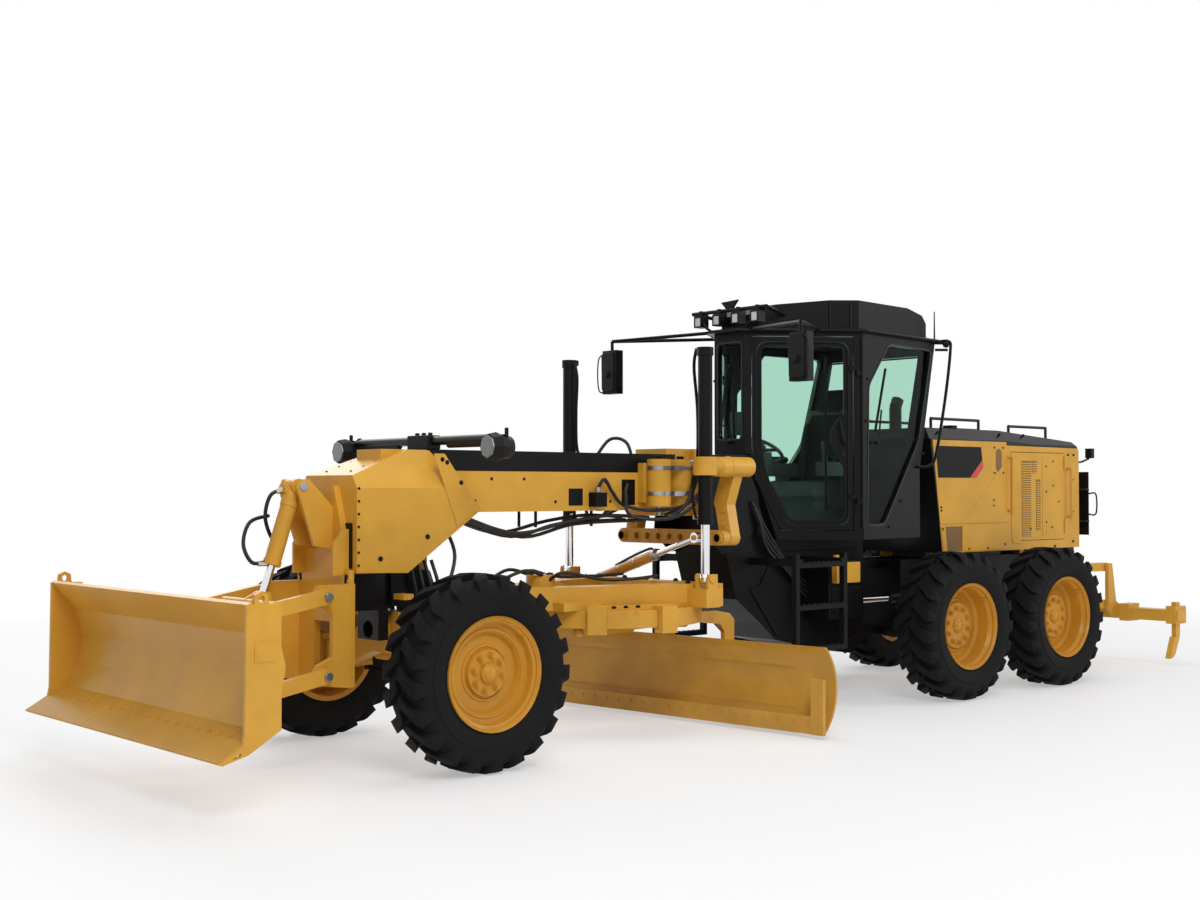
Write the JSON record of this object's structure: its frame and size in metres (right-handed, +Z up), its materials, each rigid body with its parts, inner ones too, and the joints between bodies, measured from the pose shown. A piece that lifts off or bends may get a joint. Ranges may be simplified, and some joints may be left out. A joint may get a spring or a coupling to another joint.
{
  "type": "motor grader",
  "caption": "Articulated motor grader with front dozer blade, circle-mounted moldboard, glazed cab, tandem drive wheels and rear ripper.",
  "frame": {"origin": "centre of the machine's footprint on the ground under its wheels", "axes": "+X towards the front blade, +Y to the operator's left, +Z up"},
  "size_m": [11.06, 3.6609, 3.43],
  "materials": {
    "yellow_paint": "gloss",
    "black_paint": "satin",
    "grey_metal": "satin",
    "chrome": "polished",
    "tyre": "matte",
    "glass": "clear",
    "plastic": "matte"
  },
  "bodies": {
    "rear_frame": {"rear_frame": "black_paint", "tandem_axle": "black_paint", "engine_block": "grey_metal", "hood": "yellow_paint"},
    "front_frame": {"main_beam": "yellow_paint", "nose_housing": "yellow_paint", "gooseneck": "black_paint", "lift_saddle": "yellow_paint", "lift_barrels": "black_paint", "front_axle": "yellow_paint", "cab_body": "black_paint", "cab_roof": "black_paint", "cab_glass": "glass", "operator_station": "plastic"},
    "door_left": {"door_left": "black_paint", "door_glass_left": "glass"},
    "door_right": {"door_right": "black_paint", "door_glass_right": "glass"},
    "wheel_front_left": {"tyre_front_left": "tyre", "rim_front_left": "yellow_paint"},
    "wheel_middle_left": {"tyre_middle_left": "tyre", "rim_middle_left": "yellow_paint"},
    "wheel_rear_left": {"tyre_rear_left": "tyre", "rim_rear_left": "yellow_paint"},
    "wheel_front_right": {"tyre_front_right": "tyre", "rim_front_right": "yellow_paint"},
    "wheel_middle_right": {"tyre_middle_right": "tyre", "rim_middle_right": "yellow_paint"},
    "wheel_rear_right": {"tyre_rear_right": "tyre", "rim_rear_right": "yellow_paint"},
    "knuckle_left": {"knuckle_left": "yellow_paint"},
    "knuckle_right": {"knuckle_right": "yellow_paint"},
    "tie_rod": {"tie_rod": "black_paint"},
    "steering_rod_left": {"steering_rod_left": "chrome"},
    "steering_rod_right": {"steering_rod_right": "chrome"},
    "drawbar": {"drawbar": "yellow_paint"},
    "circle": {"circle": "yellow_paint"},
    "tip_brackets": {"tip_brackets": "yellow_paint"},
    "moldboard": {"moldboard": "yellow_paint"},
    "tip_barrel": {"tip_barrel": "yellow_paint"},
    "tip_rod": {"tip_rod": "chrome"},
    "lift_rods": {"lift_rods": "chrome"},
    "shift_barrel": {"shift_barrel": "yellow_paint"},
    "shift_rod": {"shift_rod": "chrome"},
    "dozer_blade": {"dozer_blade": "yellow_paint"},
    "dozer_upper_links": {"dozer_upper_links": "yellow_paint"},
    "dozer_lower_links": {"dozer_lower_links": "yellow_paint"},
    "dozer_barrel": {"dozer_barrel": "yellow_paint"},
    "dozer_rod": {"dozer_rod": "chrome"},
    "articulation_barrel_left": {"articulation_barrel_left": "black_paint"},
    "articulation_barrel_right": {"articulation_barrel_right": "black_paint"},
    "articulation_rod_left": {"articulation_rod_left": "chrome"},
    "articulation_rod_right": {"articulation_rod_right": "chrome"},
    "ripper_lower_links": {"ripper_lower_links": "yellow_paint"},
    "ripper_upper_links": {"ripper_upper_links": "yellow_paint"},
    "ripper_beam": {"ripper_beam": "yellow_paint"},
    "ripper_barrel": {"ripper_barrel": "yellow_paint"},
    "ripper_rod": {"ripper_rod": "chrome"},
    "service_door_left": {"service_door_left": "yellow_paint"},
    "service_door_right": {"service_door_right": "yellow_paint"}
  },
  "joints": [
    {"name": "articulation", "type": "hinge", "parent": "rear_frame", "child": "front_frame", "pos_m": [-1.466, 0.132, 0.83], "axis": [0, 0, 1], "range_deg": [-20, 20]},
    {"name": "articulation_swing_left", "type": "hinge", "parent": "rear_frame", "child": "articulation_barrel_left", "pos_m": [-2.216, 0.562, 0.85], "axis": [0, 0, 1], "range_deg": [-6.81, 6.81]},
    {"name": "articulation_slide_left", "type": "slide", "parent": "articulation_barrel_left", "child": "articulation_rod_left", "axis": [0.9997, -0.0263, 0], "range_m": [-0.14566, 0.14566]},
    {"name": "articulation_swing_right", "type": "hinge", "parent": "rear_frame", "child": "articulation_barrel_right", "pos_m": [-2.216, -0.298, 0.85], "axis": [0, 0, 1], "range_deg": [-6.81, 6.81]},
    {"name": "articulation_slide_right", "type": "slide", "parent": "articulation_barrel_right", "child": "articulation_rod_right", "axis": [0.9997, 0.0263, 0], "range_m": [-0.14566, 0.14566]},
    {"name": "steer_left", "type": "hinge", "parent": "front_frame", "child": "knuckle_left", "pos_m": [3.484, 0.872, 0.64], "axis": [0, 0, 1], "range_deg": [-47.5, 47.5]},
    {"name": "steer_right", "type": "hinge", "parent": "front_frame", "child": "knuckle_right", "pos_m": [3.484, -0.608, 0.64], "axis": [0, 0, 1], "range_deg": [-48, 48]},
    {"name": "tie_rod_pin", "type": "hinge", "parent": "knuckle_left", "child": "tie_rod", "pos_m": [3.204, 0.872, 0.5], "axis": [0, 0, 1], "range_deg": [-48, 48]},
    {"name": "steering_rod_left", "type": "slide", "parent": "front_frame", "child": "steering_rod_left", "axis": [0, 1, 0], "range_m": [-0.118, 0.118]},
    {"name": "steering_rod_right", "type": "slide", "parent": "front_frame", "child": "steering_rod_right", "axis": [0, 1, 0], "range_m": [-0.118, 0.118]},
    {"name": "wheel_front_left", "type": "hinge", "parent": "knuckle_left", "child": "wheel_front_left", "pos_m": [3.484, 1.132, 0.64], "axis": [0, 1, 0], "continuous": true},
    {"name": "wheel_front_right", "type": "hinge", "parent": "knuckle_right", "child": "wheel_front_right", "pos_m": [3.484, -0.868, 0.64], "axis": [0, 1, 0], "continuous": true},
    {"name": "wheel_middle_left", "type": "hinge", "parent": "rear_frame", "child": "wheel_middle_left", "pos_m": [-1.6775, 1.132, 0.64], "axis": [0, 1, 0], "continuous": true},
    {"name": "wheel_middle_right", "type": "hinge", "parent": "rear_frame", "child": "wheel_middle_right", "pos_m": [-1.6775, -0.868, 0.64], "axis": [0, 1, 0], "continuous": true},
    {"name": "wheel_rear_left", "type": "hinge", "parent": "rear_frame", "child": "wheel_rear_left", "pos_m": [-3.1885, 1.132, 0.64], "axis": [0, 1, 0], "continuous": true},
    {"name": "wheel_rear_right", "type": "hinge", "parent": "rear_frame", "child": "wheel_rear_right", "pos_m": [-3.1885, -0.868, 0.64], "axis": [0, 1, 0], "continuous": true},
    {"name": "drawbar_lift", "type": "hinge", "parent": "front_frame", "child": "drawbar", "pos_m": [3.064, 0.132, 1.03], "axis": [0, 1, 0], "range_deg": [-19, 11]},
    {"name": "lift_rods", "type": "slide", "parent": "front_frame", "child": "lift_rods", "axis": [0, 0, 1], "range_m": [-0.62996, 0.36476]},
    {"name": "centre_shift_swing", "type": "hinge", "parent": "front_frame", "child": "shift_rod", "pos_m": [0.884, 0.522, 1.44], "axis": [1, 0, 0], "range_deg": [-17.96, 31.01]},
    {"name": "centre_shift_slide", "type": "slide", "parent": "shift_rod", "child": "shift_barrel", "axis": [0, -0.9531, -0.3025], "range_m": [-0.15517, 0.26796]},
    {"name": "circle_rotation", "type": "hinge", "parent": "drawbar", "child": "circle", "pos_m": [1.514, 0.132, 0.86], "axis": [0, 0, 1], "range_deg": [-28, 17]},
    {"name": "blade_tip", "type": "hinge", "parent": "circle", "child": "tip_brackets", "pos_m": [0.7575, 0.05916, 0.21], "axis": [-0.0958, 0.9954, 0], "range_deg": [-5, 40]},
    {"name": "tip_swing", "type": "hinge", "parent": "circle", "child": "tip_barrel", "pos_m": [1.76285, 0.15596, 0.725], "axis": [-0.0958, 0.9954, 0], "range_deg": [-11.72, 1.47]},
    {"name": "tip_slide", "type": "slide", "parent": "tip_barrel", "child": "tip_rod", "axis": [-0.9954, -0.0958, 0], "range_m": [-0.3166, 0.03966]},
    {"name": "blade_side_shift", "type": "slide", "parent": "tip_brackets", "child": "moldboard", "axis": [-0.0958, 0.9954, 0], "range_m": [-0.55, 0.6]},
    {"name": "dozer_lift", "type": "hinge", "parent": "front_frame", "child": "dozer_upper_links", "pos_m": [4.257, 0.132, 1.131], "axis": [0, -1, 0], "range_deg": [-22, 30]},
    {"name": "dozer_lower_links", "type": "hinge", "parent": "front_frame", "child": "dozer_lower_links", "pos_m": [4.257, 0.132, 0.619], "axis": [0, -1, 0], "range_deg": [-22.5, 30.5]},
    {"name": "dozer_level", "type": "hinge", "parent": "dozer_upper_links", "child": "dozer_blade", "pos_m": [5.035, 0.132, 0.99382], "axis": [0, -1, 0], "range_deg": [-30.5, 22.5]},
    {"name": "dozer_swing", "type": "hinge", "parent": "front_frame", "child": "dozer_barrel", "pos_m": [4.264, 0.132, 1.842], "axis": [0, -1, 0], "range_deg": [-2.12, 2.88]},
    {"name": "dozer_slide", "type": "slide", "parent": "dozer_barrel", "child": "dozer_rod", "axis": [0.3079, 0, -0.9514], "range_m": [-0.12094, 0.08872]},
    {"name": "ripper_lift", "type": "hinge", "parent": "rear_frame", "child": "ripper_lower_links", "pos_m": [-4.736, 0.132, 0.62], "axis": [0, 1, 0], "range_deg": [-35, 25]},
    {"name": "ripper_upper_links", "type": "hinge", "parent": "rear_frame", "child": "ripper_upper_links", "pos_m": [-4.736, 0.132, 1.01], "axis": [0, 1, 0], "range_deg": [-35.5, 25.5]},
    {"name": "ripper_level", "type": "hinge", "parent": "ripper_lower_links", "child": "ripper_beam", "pos_m": [-5.256, 0.132, 0.612], "axis": [0, 1, 0], "range_deg": [-25.5, 35.5]},
    {"name": "ripper_swing", "type": "hinge", "parent": "rear_frame", "child": "ripper_barrel", "pos_m": [-4.686, 0.132, 1.18], "axis": [0, 1, 0], "range_deg": [-10.7, 7.65]},
    {"name": "ripper_slide", "type": "slide", "parent": "ripper_barrel", "child": "ripper_rod", "axis": [-0.5715, 0, -0.8206], "range_m": [-0.11777, 0.16484]},
    {"name": "cab_door_left", "type": "hinge", "parent": "front_frame", "child": "door_left", "pos_m": [-0.63817, 0.91458, 2.2], "axis": [0, 0, 1], "range_deg": [0, 85]},
    {"name": "cab_door_right", "type": "hinge", "parent": "front_frame", "child": "door_right", "pos_m": [-0.63817, -0.65058, 2.2], "axis": [0, 0, -1], "range_deg": [0, 85]},
    {"name": "service_door_left", "type": "hinge", "parent": "rear_frame", "child": "service_door_left", "pos_m": [-4.14, 0.703, 1.7], "axis": [0, 0, 1], "range_deg": [0, 100]},
    {"name": "service_door_right", "type": "hinge", "parent": "rear_frame", "child": "service_door_right", "pos_m": [-4.14, -0.439, 1.7], "axis": [0, 0, -1], "range_deg": [0, 100]}
  ],
  "couplings": [
    {"joint": "articulation_swing_left", "follows": "articulation", "ratio": 0.33357},
    {"joint": "articulation_slide_left", "follows": "articulation", "m_per_rad": -0.40884},
    {"joint": "articulation_swing_right", "follows": "articulation", "ratio": 0.33357},
    {"joint": "articulation_slide_right", "follows": "articulation", "m_per_rad": 0.40884},
    {"joint": "steer_right", "follows": "steer_left", "ratio": 1},
    {"joint": "tie_rod_pin", "follows": "steer_left", "ratio": -1},
    {"joint": "steering_rod_left", "follows": "steer_left", "m_per_rad": -0.135},
    {"joint": "steering_rod_right", "follows": "steer_left", "m_per_rad": -0.135},
    {"joint": "lift_rods", "follows": "drawbar_lift", "m_per_rad": 1.8621},
    {"joint": "centre_shift_swing", "follows": "drawbar_lift", "ratio": -1.6},
    {"joint": "centre_shift_slide", "follows": "drawbar_lift", "m_per_rad": -0.7919},
    {"joint": "tip_swing", "follows": "blade_tip", "ratio": -0.28703},
    {"joint": "tip_slide", "follows": "blade_tip", "m_per_rad": -0.44447},
    {"joint": "dozer_lower_links", "follows": "dozer_lift", "ratio": 1},
    {"joint": "dozer_level", "follows": "dozer_lift", "ratio": -1},
    {"joint": "dozer_swing", "follows": "dozer_lift", "ratio": 0.09408},
    {"joint": "dozer_slide", "follows": "dozer_lift", "m_per_rad": -0.22626},
    {"joint": "ripper_upper_links", "follows": "ripper_lift", "ratio": 1},
    {"joint": "ripper_level", "follows": "ripper_lift", "ratio": -1},
    {"joint": "ripper_swing", "follows": "ripper_lift", "ratio": 0.29967},
    {"joint": "ripper_slide", "follows": "ripper_lift", "m_per_rad": -0.2644}
  ]
}
